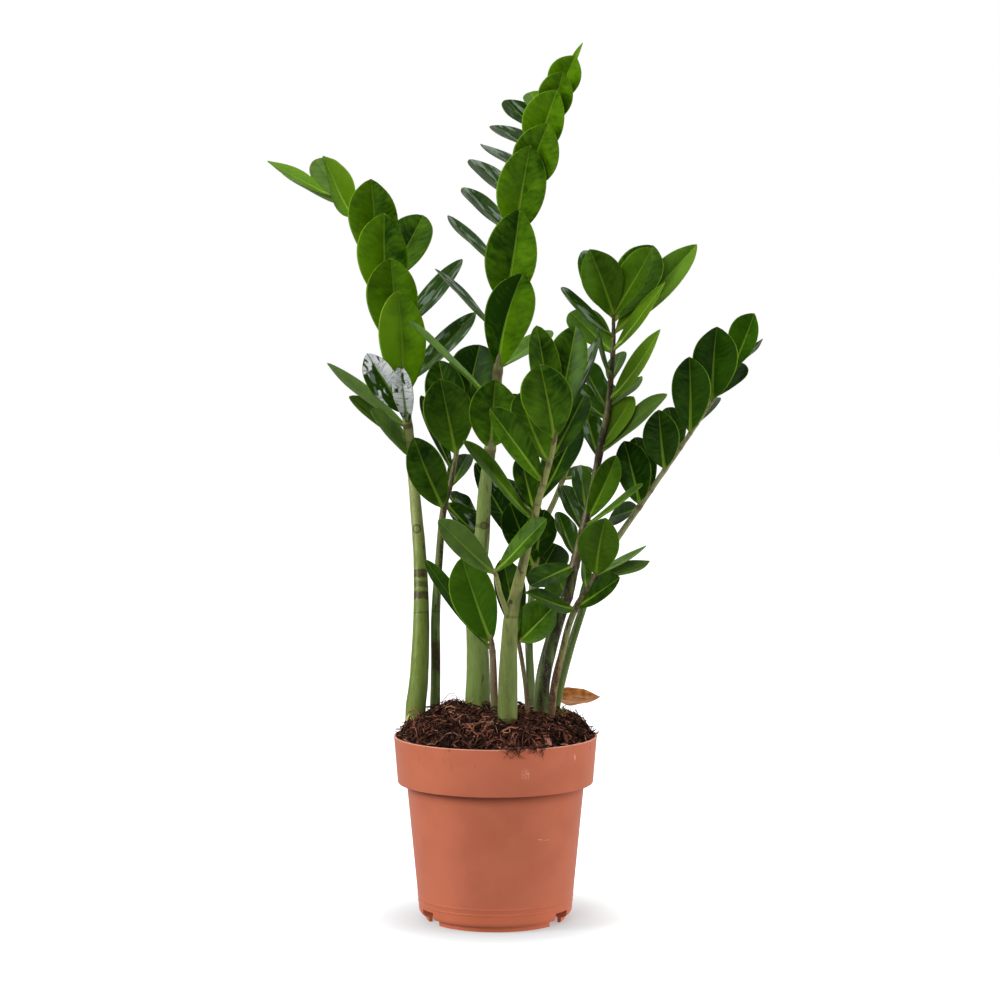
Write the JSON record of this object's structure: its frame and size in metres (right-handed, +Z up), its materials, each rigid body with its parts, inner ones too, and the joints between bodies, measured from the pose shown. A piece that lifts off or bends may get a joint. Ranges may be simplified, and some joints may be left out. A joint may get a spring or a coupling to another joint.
{
  "type": "potted zz plant",
  "caption": "Round plastic nursery pot with a wide collar, filled with soil, holding upright arching fronds with paired glossy leaflets.",
  "frame": {"origin": "middle of the pot's foot, on the surface that the pot stands on", "axes": "+Z up through the pot, -Y to the front that the picture shows, +X to the right of that view"},
  "size_m": [0.4247, 0.2946, 0.7191],
  "materials": {
    "pot_plastic": "matte terracotta-coloured plastic",
    "potting_soil": "loose fibrous potting soil",
    "leaf_bright": "glossy waxy leaf, young yellow-green",
    "leaf": "glossy waxy leaf",
    "leaf_dark": "glossy waxy leaf, dark",
    "dead_leaf": "dry, papery"
  },
  "bodies": {
    "root": {"pot": "pot_plastic", "soil": "potting_soil", "frond_a": "leaf_bright", "frond_b": "leaf", "frond_c": "leaf_bright", "frond_d": "leaf", "frond_e": "leaf_dark", "frond_f": "leaf", "frond_g": "leaf", "frond_h": "leaf", "frond_i": "leaf_dark", "frond_j": "leaf", "dry_leaf": "dead_leaf"}
  },
  "joints": []
}
